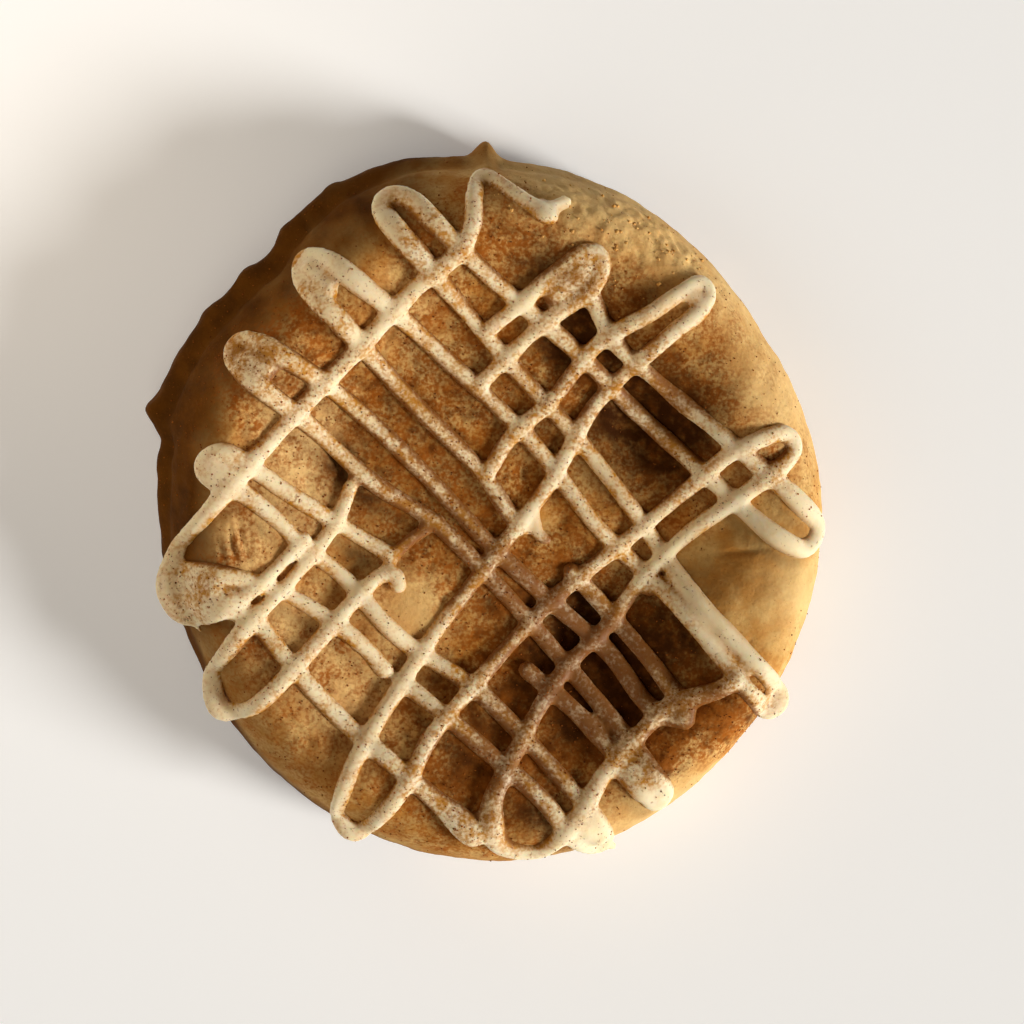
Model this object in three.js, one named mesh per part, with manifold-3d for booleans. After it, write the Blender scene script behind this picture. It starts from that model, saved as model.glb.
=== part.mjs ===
// A thick round spice cookie with two crossing passes of piped icing, fused into one solid.
// Millimetres, +Z up. The flat bottom lies on Z = 0 and the cookie's middle is on the Z axis.

import * as THREE from 'three';
import { mergeVertices } from 'three/addons/utils/BufferGeometryUtils.js';
import Module from 'manifold-3d';

// Driving dimensions of the baked dough
const MEAN_RADIUS = 41.2;
const OVALITY = 1.1;
const CROWN_HEIGHT = 17;
const BELLY_HEIGHT = 4;
const CROWN_POWER = 16;
const BOTTOM_INSET = 2.6;
const BOWL_DEPTH = 4;
const BOWL_FOOT = 0.3;
const BOWL_RIM = 0.92;
const WAVE_HEIGHT = 0.3;
const WAVE_LENGTH = 3;
const SECTORS = 62;
const TOP_RINGS = 10;
const RING_CROWDING = 0.7;
const BOTTOM_RINGS = 3;

// Where the bowl's bank leaves its usual place: angle and width in degrees, shifts as shares of the radius
const BOWL_BANKS = [
  { at: 40, width: 32, footShift: 0.18, rimShift: -0.2 },
  { at: -8, width: 24, footShift: 0.1, rimShift: 0.03 },
];

// The foot that spread on the tray, on one side only: a lip, a crease above it and a wall that leans in.
// The top follows the wall by a power of its share of the radius.
const LIP = {
  middle: 138,
  halfWidth: 72,
  height: 6.6,
  fade: 1.2,
  inset: 1.1,
  crease: 0.7,
  lean: 3,
  followPower: 4,
};
const SHARE_STEPS = 8;

// Swellings of the outline: angle and width in degrees, height in mm
const OUTLINE_SWELLS = [
  { at: 157, width: 13, out: 2 },
  { at: 110, width: 20, out: 1.9 },
  { at: 130, width: 6, out: -0.9 },
  { at: 36, width: 22, out: -1.3 },
  { at: 345, width: 60, out: 1.6 },
  { at: 280, width: 28, out: 1 },
  { at: 205, width: 14, out: -0.7 },
  { at: 90, width: 3, out: 1.6 },
  { at: 163, width: 3, out: 1 },
];

// Mounds and hollows of the top: middle, radius and height in mm
const TOP_SWELLS = [
  { x: 14, y: -16, radius: 9, up: -2.2 },
  { x: 21, y: 12.5, radius: 6.5, up: -1.8 },
  { x: -19, y: 7, radius: 4, up: -0.8 },
  { x: 29, y: -7, radius: 7, up: 0.9 },
  { x: 28, y: 20, radius: 8, up: 0.7 },
  { x: 28, y: -24, radius: 6, up: 0.8 },
  { x: -29, y: 11, radius: 9, up: 0.6 },
  { x: -12, y: -7, radius: 6, up: 0.7 },
  { x: -8, y: -30, radius: 9, up: 0.5 },
];

// Driving dimensions of the icing
const STRAND_RADIUS = 1.1;
const STRAND_FLATNESS = 0.82;
const STRAND_SINK = 0.2;
const STRAND_STEP = 7;
const STRAND_BEND = 40;
const SAMPLES_PER_MM = 2;
const STRAND_SIDES = 5;
const CROSSING_LIFT = 0.5;
const CROSSING_REACH = 2.6;
const BEAD_REACH = 4;
const TURN_DEPTH = 0.5;
const LOWEST_STRAND = 12;
const UPPER_RIGHT = new THREE.Vector2(1, 1).normalize();
const UPPER_LEFT = new THREE.Vector2(-1, 1).normalize();

// Each row is one turn of the piping bag: x, y, the gap between the two runs that meet there,
// the bead of extra radius, and how far the run to the next turn bows. A gap of 0 is a plain point.
const LOWER_PASS = {
  bowsTo: UPPER_RIGHT,
  turns: [
    [11, 27.5, 0, 0, 0.4],
    [38.75, -2.75, 3.4, 0.25, 0],
    [-13, 38, 4, 0.1, 1.4],
    [35.5, -23.5, 3, 0.3, 1.2],
    [-22.5, 31.25, 4.6, 0.2, -0.6],
    [23, -24, 3, 0.3, 0.7],
    [-31, 21.5, 4.4, 0.5, 2],
    [20, -34.5, 2.2, 0.3, 3],
    [-34.5, 7.5, 2.8, 0.6, 0.8],
    [13, -40, 2.8, 0.5, 3.4],
    [-38, -8, 4, 0.8, 0.6],
    [-3, -38, 0, 0.6, 0],
  ],
};

const UPPER_PASSES = [
  [
    [8, 38.5, 0, 0.2, 0],
    [5, 37, 0, 0, 0],
    [1, 39.5, 0, 0, 0],
    [-3, 40.5, 3.4, 0, 0],
    [-39, -9, 5, 0.5, 0],
    [-23.5, -2, 0, 0, 0],
  ],
  [
    [-1.5, 23, 0, 0, 1.5],
    [12.25, 32, 3.8, 0.2, 0],
    [-1.75, 16.25, 0, 0, 0],
  ],
  [
    [-17.5, 4, 0, 0, 0.5],
    [-33.5, -22, 5, 0, 1],
    [-7, 1, 0, 0, 0],
  ],
  [
    [-0.75, 5.5, 0, 0, 2],
    [25.25, 28, 3, 0.1, 3.2],
    [-18.5, -37.5, 5, 0.1, 3.8],
    [36, 9.5, 3.8, 0.1, 4],
    [2, -40.5, 7, 0.1, 0.4],
    [29, -20, 0, 0.1, 0],
  ],
].map((turns) => ({ bowsTo: UPPER_LEFT, turns }));

// Places where neighbouring runs flowed together: middle, half lengths and turn in degrees
const POOLS = [
  { x: 25, y: -11.75, long: 5.5, wide: 2.2, turn: -45 },
  { x: -36, y: -8, long: 3.8, wide: 2.8, turn: -20 },
  { x: -28.5, y: 19.5, long: 3.6, wide: 2.5, turn: -40 },
  { x: 17.5, y: -31.25, long: 3.6, wide: 1.6, turn: -55 },
  { x: 8.5, y: 28.5, long: 4.4, wide: 1.8, turn: 47 },
  { x: -32.75, y: 6.5, long: 2.4, wide: 1.6, turn: -30 },
];
const POOL_HEIGHT = 1.3;
const POOL_SIDES = 10;
const POOL_RINGS = 6;

const bell = (distance, width) => Math.exp(-((distance / width) ** 2));

function angleBetween(a, b) {
  const turn = (((a - b) % 360) + 540) % 360;
  return turn - 180;
}

function outlineRadius(angle) {
  const oval = -OVALITY * Math.cos(2 * THREE.MathUtils.degToRad(angle));
  const swell = ({ at, width, out }) => out * bell(angleBetween(angle, at), width);
  return OUTLINE_SWELLS.reduce((radius, bump) => radius + swell(bump), MEAN_RADIUS + oval);
}

function lipInset(angle, z) {
  const share = bell(angleBetween(angle, LIP.middle), LIP.halfWidth);
  const above = THREE.MathUtils.smoothstep(z, LIP.height - LIP.fade, LIP.height + LIP.fade);
  const crease = LIP.crease * bell(z - LIP.height - LIP.fade, LIP.fade);
  const climb = THREE.MathUtils.clamp((z - LIP.height) / (CROWN_HEIGHT - LIP.height), 0, 1);
  return share ** 2 * (LIP.inset * above + crease + LIP.lean * climb);
}

function crownHeight(share) {
  const rounded = Math.sqrt(Math.max(0, 1 - share ** CROWN_POWER));
  return BELLY_HEIGHT + (CROWN_HEIGHT - BELLY_HEIGHT) * rounded;
}

// The sunken middle: flat inside the foot of its bank, and level with the rim outside it.
function bowlHeight(x, y, share) {
  const angle = THREE.MathUtils.radToDeg(Math.atan2(y, x));
  let foot = BOWL_FOOT;
  let rim = BOWL_RIM;
  for (const { at, width, footShift, rimShift } of BOWL_BANKS) {
    const near = bell(angleBetween(angle, at), width);
    foot += footShift * near;
    rim += rimShift * near;
  }
  return BOWL_DEPTH * (THREE.MathUtils.smoothstep(share, foot, rim) - 1);
}

function topRelief(x, y, share) {
  const dimples = Math.sin(x / WAVE_LENGTH + 1) * Math.sin(y / WAVE_LENGTH);
  const ridges = Math.sin((x - 2 * y) / (2 * WAVE_LENGTH));
  const swell = ({ x: cx, y: cy, radius, up }) => up * bell(Math.hypot(x - cx, y - cy), radius);
  const flatAtEdge = 1 - share ** CROWN_POWER;
  const level = bowlHeight(x, y, share) + WAVE_HEIGHT * (dimples + ridges);
  return TOP_SWELLS.reduce((height, bump) => height + swell(bump), level) * Math.max(0, flatAtEdge);
}

function doughRadius(angle, share, z) {
  return share * outlineRadius(angle) - lipInset(angle, z) * share ** LIP.followPower;
}

// The share of the radius at a place on the top, found step by step because the lip draws the top in.
function topShare(x, y) {
  const angle = THREE.MathUtils.radToDeg(Math.atan2(y, x));
  const outline = outlineRadius(angle);
  let share = Math.min(1, Math.hypot(x, y) / outline);
  for (let step = 0; step < SHARE_STEPS; step += 1) {
    const missing = Math.hypot(x, y) - doughRadius(angle, share, crownHeight(share));
    share = THREE.MathUtils.clamp(share + missing / outline, 0, 1);
  }
  return share;
}

function topHeight(x, y) {
  const share = topShare(x, y);
  return crownHeight(share) + topRelief(x, y, share);
}

// The dough is a lathe of the mean profile whose points are then moved to the uneven outline and top.
function doughProfile() {
  const points = [new THREE.Vector2(0, 0)];
  for (let ring = BOTTOM_RINGS; ring > 0; ring -= 1) {
    const lean = (ring / BOTTOM_RINGS) * (Math.PI / 2);
    const inset = (BOTTOM_INSET / MEAN_RADIUS) * (1 - Math.cos(lean));
    points.push(new THREE.Vector2(1 - inset, BELLY_HEIGHT * (1 - Math.sin(lean))));
  }
  for (let ring = TOP_RINGS; ring > 0; ring -= 1) {
    const share = Math.sin((ring / TOP_RINGS) * (Math.PI / 2)) ** RING_CROWDING;
    points.push(new THREE.Vector2(share, crownHeight(share)));
  }
  points.push(new THREE.Vector2(0, CROWN_HEIGHT));
  return points;
}

function doughGeometry() {
  const geometry = new THREE.LatheGeometry(doughProfile(), SECTORS).rotateX(Math.PI / 2);
  const points = geometry.getAttribute('position');
  for (let i = 0; i < points.count; i += 1) {
    const share = Math.hypot(points.getX(i), points.getY(i));
    const direction = Math.atan2(points.getY(i), points.getX(i));
    const angle = THREE.MathUtils.radToDeg(direction);
    const z = points.getZ(i);
    const radius = doughRadius(angle, share, z);
    const x = radius * Math.cos(direction);
    const y = radius * Math.sin(direction);
    const relief = z > BELLY_HEIGHT ? topRelief(x, y, share) : 0;
    points.setXYZ(i, x, y, z + relief);
  }
  return geometry;
}

// The flat route of one pass: a round hairpin at each turn and a bowed run between turns.
function passRoute({ bowsTo, turns }) {
  const places = turns.map(([x, y]) => new THREE.Vector2(x, y));
  const route = [];
  turns.forEach(([, , gap, , bow], i) => {
    const place = places[i];
    if (gap > 0) {
      const toLast = places[i - 1].clone().sub(place).normalize();
      const toNext = places[i + 1].clone().sub(place).normalize();
      const inward = toLast.clone().add(toNext).normalize();
      const side = new THREE.Vector2(-inward.y, inward.x);
      const hand = Math.sign(side.dot(toLast) - side.dot(toNext));
      const neck = place.clone().addScaledVector(inward, gap * TURN_DEPTH);
      route.push(neck.clone().addScaledVector(side, (hand * gap) / 2), place);
      route.push(neck.clone().addScaledVector(side, (-hand * gap) / 2));
    } else {
      route.push(place);
    }
    if (bow !== 0) {
      const halfWay = route.at(-1).clone().lerp(places[i + 1], 0.5);
      route.push(halfWay.addScaledVector(bowsTo, bow));
    }
  });
  return new THREE.CatmullRomCurve3(route.map(({ x, y }) => new THREE.Vector3(x, y, 0)));
}

const lowerRoute = passRoute(LOWER_PASS);
const lowerPoints = lowerRoute.getSpacedPoints(Math.round(lowerRoute.getLength()));

function crossingLift(point) {
  const nearest = Math.min(...lowerPoints.map((other) => other.distanceTo(point)));
  return CROSSING_LIFT * bell(nearest, CROSSING_REACH);
}

// Where along its route a strand has a ring: far apart on the runs and close together in the bends.
function ringPlaces(route) {
  const fine = Math.round(route.getLength() * SAMPLES_PER_MM);
  const places = [0];
  for (let i = 1; i < fine; i += 1) {
    const along = i / fine;
    const last = places.at(-1);
    const bend = route.getTangentAt(along).angleTo(route.getTangentAt(last));
    const step = (along - last) * route.getLength();
    if (step > STRAND_STEP || THREE.MathUtils.radToDeg(bend) > STRAND_BEND) {
      places.push(along);
    }
  }
  return [...places, 1];
}

// A strand is a capsule bent along its route, lying on the dough or over the pass below it.
function strandGeometry(pass, liesOnLower) {
  const route = liesOnLower ? passRoute(pass) : lowerRoute;
  const rings = ringPlaces(route);
  const lastRing = rings.length - 1;
  const geometry = new THREE.CapsuleGeometry(1, lastRing, 1, STRAND_SIDES, lastRing);
  const up = new THREE.Vector3(0, 0, 1);
  const points = geometry.getAttribute('position');
  for (let i = 0; i < points.count; i += 1) {
    const step = points.getY(i) + lastRing / 2;
    const ring = THREE.MathUtils.clamp(Math.round(step), 0, lastRing);
    const beyondEnd = step - THREE.MathUtils.clamp(step, 0, lastRing);
    const centre = route.getPointAt(rings[ring]);
    const tangent = route.getTangentAt(rings[ring]);
    const side = tangent.clone().cross(up).normalize();
    const bead = pass.turns.reduce(
      (sum, [x, y, , thick]) => sum + thick * bell(Math.hypot(centre.x - x, centre.y - y), BEAD_REACH),
      0,
    );
    const radius = STRAND_RADIUS + bead;
    const lift = liesOnLower ? crossingLift(centre) : 0;
    centre.z = Math.max(LOWEST_STRAND, topHeight(centre.x, centre.y)) + STRAND_SINK + lift;
    centre.addScaledVector(side, points.getZ(i) * radius);
    centre.addScaledVector(up, -points.getX(i) * radius * STRAND_FLATNESS);
    centre.addScaledVector(tangent, beyondEnd * radius);
    points.setXYZ(i, centre.x, centre.y, centre.z);
  }
  return geometry;
}

function poolGeometry({ x, y, long, wide, turn }) {
  const geometry = new THREE.SphereGeometry(1, POOL_SIDES, POOL_RINGS);
  geometry.scale(long, POOL_HEIGHT, wide).rotateX(Math.PI / 2);
  geometry.rotateZ(THREE.MathUtils.degToRad(turn));
  return geometry.translate(x, y, topHeight(x, y));
}

const WELD_DISTANCE = 1e-4;
const wasm = await Module();
wasm.setup();

// A closed solid from a geometry: shared corners become one, and triangles that shrank to a line go.
function solidOf(geometry) {
  const bare = geometry.clone();
  bare.deleteAttribute('normal');
  bare.deleteAttribute('uv');
  const merged = mergeVertices(bare, WELD_DISTANCE);
  const corners = merged.getIndex().array;
  const triangles = [];
  for (let i = 0; i < corners.length; i += 3) {
    const [a, b, c] = corners.slice(i, i + 3);
    if (a !== b && b !== c && c !== a) {
      triangles.push(a, b, c);
    }
  }
  const vertProperties = new Float32Array(merged.getAttribute('position').array);
  const triVerts = new Uint32Array(triangles);
  return new wasm.Manifold(new wasm.Mesh({ numProp: 3, vertProperties, triVerts }));
}

function geometryOf(solid) {
  const { vertProperties, triVerts } = solid.getMesh();
  const geometry = new THREE.BufferGeometry();
  geometry.setAttribute('position', new THREE.BufferAttribute(vertProperties, 3));
  geometry.setIndex(new THREE.BufferAttribute(triVerts, 1));
  geometry.computeVertexNormals();
  return geometry;
}

const icing = [
  strandGeometry(LOWER_PASS, false),
  ...UPPER_PASSES.map((pass) => strandGeometry(pass, true)),
  ...POOLS.map(poolGeometry),
];
const dough = solidOf(doughGeometry());
const fused = icing.map(solidOf).reduce((whole, piece) => whole.add(piece), dough);

// The largest body is the outer shell.
// The icing seals off small hollows, and leaving out their walls fills them.
const bodies = fused.decompose();
const [cookieSolid] = bodies.sort((a, b) => b.volume() - a.volume());

const bakedDough = new THREE.MeshStandardMaterial({ color: 0xd2a468, roughness: 0.85, metalness: 0 });
const cookie = new THREE.Mesh(geometryOf(cookieSolid), bakedDough);
cookie.name = 'cookie';

const part = new THREE.Group();
part.add(cookie);

export default part;
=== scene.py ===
import math

import bpy
import numpy as np
from mathutils import Matrix, Vector, noise
from mathutils.bvhtree import BVHTree
from mathutils.kdtree import KDTree


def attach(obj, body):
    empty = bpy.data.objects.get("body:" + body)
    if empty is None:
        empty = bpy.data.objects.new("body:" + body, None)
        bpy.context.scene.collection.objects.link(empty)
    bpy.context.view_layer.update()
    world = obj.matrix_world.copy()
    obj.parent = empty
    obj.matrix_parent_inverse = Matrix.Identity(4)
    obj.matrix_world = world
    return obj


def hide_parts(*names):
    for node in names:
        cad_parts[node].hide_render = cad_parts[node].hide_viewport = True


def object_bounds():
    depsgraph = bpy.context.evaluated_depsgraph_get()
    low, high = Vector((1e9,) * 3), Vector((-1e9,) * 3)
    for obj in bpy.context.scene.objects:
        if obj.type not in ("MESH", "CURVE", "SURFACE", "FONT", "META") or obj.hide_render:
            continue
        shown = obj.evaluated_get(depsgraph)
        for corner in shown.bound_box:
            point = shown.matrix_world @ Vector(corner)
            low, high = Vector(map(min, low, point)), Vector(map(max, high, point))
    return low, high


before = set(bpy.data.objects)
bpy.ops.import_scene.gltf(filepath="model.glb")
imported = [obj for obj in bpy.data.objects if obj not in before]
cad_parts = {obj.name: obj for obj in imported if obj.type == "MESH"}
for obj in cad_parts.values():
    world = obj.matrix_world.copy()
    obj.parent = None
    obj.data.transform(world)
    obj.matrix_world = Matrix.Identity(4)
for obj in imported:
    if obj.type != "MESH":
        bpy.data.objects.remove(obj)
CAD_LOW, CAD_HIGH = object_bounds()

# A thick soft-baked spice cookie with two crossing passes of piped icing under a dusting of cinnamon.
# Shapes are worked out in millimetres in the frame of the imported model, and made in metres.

MM = 0.001
SEED = 11

# Driving dimensions of the baked dough, as in the solid
MEAN_RADIUS = 41.2
OVALITY = 1.1
CROWN_HEIGHT = 17.0
BELLY_HEIGHT = 4.0
CROWN_POWER = 16
BOTTOM_INSET = 2.6
BOWL_DEPTH = 4.0
BOWL_FOOT = 0.3
BOWL_RIM = 0.92
WAVE_HEIGHT = 0.3
WAVE_LENGTH = 3.0

# Where the bowl's bank leaves its usual place: angle and width in degrees, and the shifts of foot and rim
BOWL_BANKS = [
    (40, 32, 0.18, -0.2),
    (-8, 24, 0.1, 0.03),
]

# How finely the dough is meshed
TOP_GRID = 220
TOP_SHARE = 0.93
WALL_RINGS = 30
FOOT_RINGS = 13
BOTTOM_RINGS = 3

# The foot that spread on the tray, on one side only: a lip, a crease above it and a wall that leans in.
# The top follows the wall by a power of its share of the radius.
LIP_MIDDLE = 138
LIP_HALF_WIDTH = 72
LIP_HEIGHT = 6.6
LIP_FADE = 1.2
LIP_INSET = 1.1
LIP_CREASE = 0.7
LIP_LEAN = 3.0
LIP_FOLLOW_POWER = 4
SHARE_STEPS = 8

# Swellings of the outline: angle and width in degrees, height in mm
OUTLINE_SWELLS = [
    (157, 13, 2),
    (110, 20, 1.9),
    (130, 6, -0.9),
    (36, 22, -1.3),
    (345, 60, 1.6),
    (280, 28, 1),
    (205, 14, -0.7),
]

# Scallops and notches of the foot, which fade out above it: angle and width in degrees, height in mm
FOOT_SWELLS = [
    (90, 1.7, 2.0),
    (163, 3, 1),
    (115.5, 2.4, 0.5),
    (126, 2.2, 0.6),
    (135, 2.2, 0.6),
    (144, 2.2, 0.5),
    (163, 1.6, 0.6),
    (167.5, 2.4, -0.7),
    (-15, 1.6, -0.5),
    (-21, 2.2, 0.3),
]
FOOT_FADE = (5, 11)

# Mounds and hollows of the top: middle, radius and height in mm
TOP_SWELLS = [
    (14, -16, 9, -2.2),
    (21, 12.5, 6.5, -1.8),
    (-19, 7, 4, -0.8),
    (29, -7, 7, 0.9),
    (28, 20, 8, 0.7),
    (28, -24, 6, 0.8),
    (-29, 11, 9, 0.6),
    (-12, -7, 6, 0.7),
    (-8, -30, 9, 0.5),
]

# Lumps all over the baked surface: size and height in mm. All relief sets in between two heights.
DOUGH_LUMPS = [(5, 0.2), (2.2, 0.13), (0.9, 0.06)]
RELIEF_ABOVE = (0.2, 2)

# Cracks: middle, half length, half width and depth in mm, and turn in degrees
CRACKS = [
    (-18.5, 7, 3.6, 1.1, 0.9, -75),
    (29.75, -4.25, 3.2, 0.35, 0.3, 8),
    (-12.5, 22.5, 2.2, 0.3, 0.3, 60),
    (-24, -25, 2.6, 0.35, 0.35, -50),
    (25, 12.5, 2.4, 0.3, 0.25, -40),
]

# A torn, flaky place on the left
FLAKED_AT = (-31.5, -2.5)
FLAKED_REACH = 3.0
FLAKE_WIDTH = 0.7
FLAKE_LENGTH = 3.0
FLAKE_HEIGHT = 0.6
FLAKE_TURN = 13

# Sandy places at the far rim: middle and radius in mm, and how strongly
SANDY_PATCHES = [(17, 36, 7, 1.0), (25, 31.5, 4, 0.8), (6, 41, 6, 0.8)]
SANDY_SIZE = 1.1
SANDY_HEIGHT = 0.36
SANDY_ABOVE = (8, 13)

# Small pits over most of the area
PITS = 90
PITTED_AREA = 0.9
PIT_SIZES = (0.35, 0.9)
PIT_SLOPE = 0.35

# Where the wall and the edge of the top are toasted, partly as painted shade on the side turned from the
# light:
# angle and width in degrees, and how strongly. It fades up the wall, grows over these shares of the radius
# on the top, and has ragged edges.
TOASTED_AND_SHADED = [(152, 62, 1.2), (228, 34, 0.8)]
TOASTED_AND_SHADED_SHOULDER = [(108, 14, 0.5), (140, 40, 0.9), (182, 28, 0.6), (235, 45, 0.35)]
TOAST_AND_SHADE_FADE = (7, 15.5)
SHOULDER_SHARES = (0.76, 0.92)
FOOT_TOAST = 0.5
FOOT_TOAST_FADE = (0.5, 4)
TOAST_AND_SHADE_RAGGED = 14
TOAST_AND_SHADE_RAGGED_SIZE = 7
TOAST_AND_SHADE_UNEVEN = 0.12
TOAST_AND_SHADE_UNEVEN_SIZE = 5

# Where shade is painted dark on the top, and where the top is paler, partly with painted light, as places
# with a radius in mm and an amount
PAINTED_SHADE_PATCHES = [
    (13, -17, 6.5, 0.95),
    (21, -16, 5, 0.8),
    (11, -10.5, 4, 0.5),
    (15, -23, 5, 0.7),
    (24, -8, 4, 0.3),
    (22.5, 11.5, 5.4, 0.9),
    (18.5, 17, 5, 0.6),
    (10.5, 25, 5, 0.6),
    (9, 20.5, 3.5, 0.5),
    (12.5, 11, 4, 0.45),
    (19, 4, 4, 0.3),
    (17.75, 6.75, 6, 0.5),
    (30, -7.5, 6.5, 0.3),
    (25, 20, 5, 0.15),
    (3.25, 30, 3, 0.7),
    (17.5, 27, 3, 0.55),
    (5, -37.5, 3, 0.4),
    (8.25, -26.75, 3, 0.6),
    (2.25, -36, 2.6, 0.5),
    (8, -4, 3.5, 0.4),
    (14.25, 18.5, 2.6, 0.5),
    (7, 20, 2.8, 0.5),
    (9.75, 23, 2.2, 0.5),
    (5.75, 9.5, 2.5, 0.35),
    (15.25, 12, 3.5, 0.35),
    (-15, 2.5, 3.5, 0.55),
    (-17, -5, 2, 0.5),
    (-5, -30.5, 3.5, 0.7),
    (-3, -25, 2.6, 0.5),
    (-7.5, -19.5, 2.0, 0.5),
    (-18.5, 7, 2.6, 0.6),
    (6.5, 31.5, 2.6, 0.55),
    (-1, -12, 3.0, 0.4),
    (-7, 13, 10, 0.22),
    (26.5, -24, 4, 0.12),
    (2, -20.5, 3.2, 0.55),
    (0.5, -25.5, 2.2, 0.4),
    (4.25, -9.75, 2.2, 0.5),
    (5.5, -17, 2.8, 0.5),
]
# Paler places: partly paler dough and partly painted light, most of all on the left
PALE_AND_LIT_PATCHES = [
    (-32, -2, 6, 0.8),
    (-26, -13, 6, 0.7),
    (-18, -22, 7, 0.6),
    (-22, 2, 5, 0.6),
    (-24, 16, 6, 0.4),
    (-11, 26, 5, 0.4),
    (-10, -10, 5, 0.6),
    (12, -42, 7, 0.8),
    (23, -36, 6, 0.8),
    (38, 10, 7, 0.6),
    (34, 17, 6, 0.6),
    (29.5, 27, 5, 0.7),
    (22.5, 32.25, 5, 0.6),
    (-24, 9, 6, 0.7),
    (15.25, 37, 5, 0.6),
    (8, 41, 7, 0.8),
    (39, -10, 6, 0.9),
]

# A shadow painted on the dough along the lower strands, on their side away from the light: its shift and
# reach in mm, and how dark it is
STRAND_SHADOW_SHIFT = (-1.4, -1.4)
STRAND_SHADOW_REACH = 1.2
STRAND_SHADOW_AMOUNT = 0.36

# Driving dimensions of the icing: strand radii in the middle and at the rim of the cookie, and their lie
LOWER_RADII = (1.12, 1.2)
UPPER_RADII = (1.04, 1.16)
RIM_SHARES = (0.4, 0.85)
STRAND_FLATNESS = 0.72
STRAND_SINK = 0.2
STRAND_STEP = 0.4
STRAND_SIDES = 16
STRAND_UNEVEN = 0.12
UNEVEN_LENGTH = 4.0
CROSSING_LIFT = 0.45
CROSSING_REACH = 2.6
LOWEST_STRAND = 12.0
CURVE_SAMPLES = 40
ICING_VOXEL = 0.36
ICING_SMOOTHING = 4
ICING_SOFTNESS = 0.5

# The lower pass, in four stretches from the far side to the front: the dough swallowed it between them
LOWER_ROUTES = [
    [
        (11.25, 27.25), (14.25, 21.5), (19.75, 16.5), (28.5, 9), (36.5, 2), (39.25, -1.75),
        (37.75, -4), (34.5, -2.75), (26.5, 4.25), (17.5, 12.5), (10.25, 19.75), (-0.75, 29.25),
        (-7.75, 36), (-9.75, 38), (-11.75, 38.75), (-13.25, 38), (-13.25, 36.75), (-11.5, 34.25),
        (-9.5, 32), (-6.5, 28.5), (2.5, 18), (9.5, 10.25), (16.75, 1), (23.75, -9), (30.25, -16.5),
        (34, -20.75), (35.25, -23.25), (34, -24.25), (31.25, -22), (28, -18), (25.5, -14.75),
        (20.75, -9.25), (12.75, -1.5), (4.5, 9.25), (-4.75, 18.25), (-11.5, 24.5), (-15.75, 28),
        (-20.75, 31.5), (-22.5, 31.25), (-23, 29.5), (-21.5, 27), (-18.75, 24), (-16.25, 21.25),
        (-10, 14.25), (-1.5, 5.5), (2, 0.25), (3.5, -1.25),
    ],
    [
        (9.5, -6.75), (15.5, -13.5), (20.5, -19.75), (23, -24), (19.75, -24), (14, -16.75),
        (6.75, -10.25), (-0.5, -3.25), (-9.5, 6.5), (-18.5, 15), (-23.5, 18.75), (-26, 20.25),
        (-28, 21.25), (-30.25, 21.5), (-31.25, 20), (-30, 18), (-27.75, 16), (-25.25, 14),
        (-22.5, 11.75), (-15, 4.75), (-7, -0.75), (0.75, -8.75), (9.25, -18.75), (16.25, -27.25),
        (18.75, -31), (20.5, -33.75), (19.5, -35), (17.25, -32.25), (14.75, -29.25),
        (10.25, -24.25), (4, -18.75),
    ],
    [
        (-12.75, -4.25), (-19.5, 0), (-23, 2.25), (-26, 4.25), (-29, 6.5), (-33, 8.5), (-34.75, 7),
        (-33, 5), (-30.5, 3.75), (-28.25, 2), (-25.75, -0.25), (-24, -2.25), (-18.5, -6.75),
        (-11.5, -14.5), (-2.25, -21), (7, -30.75), (11.75, -36.5), (13.25, -40.25), (10, -39.5),
        (5.5, -34.25), (0, -29.25), (-7.5, -22.75), (-11, -20),
    ],
    [
        (-13.5, -18.25), (-16.25, -15), (-25, -8.75), (-32.75, -6), (-38, -6.75), (-36.25, -9.25),
        (-29.75, -11.25), (-25.75, -16), (-18.75, -24), (-10.75, -31), (-3, -38),
    ],
]

# The four stretches of the upper pass
UPPER_ROUTES = [
    [
        (5.5, 37), (4.25, 37.75), (1.75, 39.25), (-1.25, 41), (-2.5, 39), (-3, 35.5),
        (-4.75, 32.25), (-8.75, 29), (-17, 20.5), (-26, 11.25), (-33.5, 3), (-38.5, -4.25),
        (-39.5, -8.25), (-37.5, -11.25), (-34, -10.75), (-28.5, -7), (-23.25, -2),
    ],
    [
        (-1, 22.75), (2.25, 25.5), (4.75, 27.75), (7.5, 30.25), (10, 32), (11.75, 32.25),
        (12.5, 31), (12, 28.75), (9.5, 26.25), (6.25, 24), (3, 21), (-1.75, 16.25),
    ],
    [
        (-17.5, 4), (-19.25, 0), (-24.25, -6.25), (-31, -13.25), (-34, -19), (-33.25, -23),
        (-30.5, -22.75), (-23.75, -16.5), (-15.25, -7.75), (-13.25, -6.5), (-12, -6.75),
        (-11.75, -8),
    ],
    [
        (-0.75, 5.5), (2, 9.75), (7, 14.25), (12, 20.75), (15, 23), (18.5, 25), (22, 27.25),
        (24.5, 28.25), (25.5, 27.25), (24.5, 25.25), (21.25, 22.75), (17.5, 19.25), (14.5, 16),
        (11.75, 12.75), (7, 4.5), (-2.75, -8), (-11.75, -20.25), (-18, -30.25), (-19, -36),
        (-17, -38.5), (-11, -31.25), (-8, -26), (-2, -19.75), (7.25, -10.25), (17.75, -1.75),
        (23.75, 3.5), (29.5, 8.5), (35, 10), (36.25, 8.25), (31.5, 3.75), (24.25, -1.75),
        (18.25, -7.75), (14.25, -13.25), (7.75, -19.75), (4, -25.5), (-0.75, -34.75), (0.25, -39.5),
        (5.25, -40.75), (9.25, -37), (13.25, -31), (17.5, -26.5), (20.5, -23.75), (23.5, -22.25),
        (26.5, -21.25), (29, -20),
    ],
]

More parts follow.
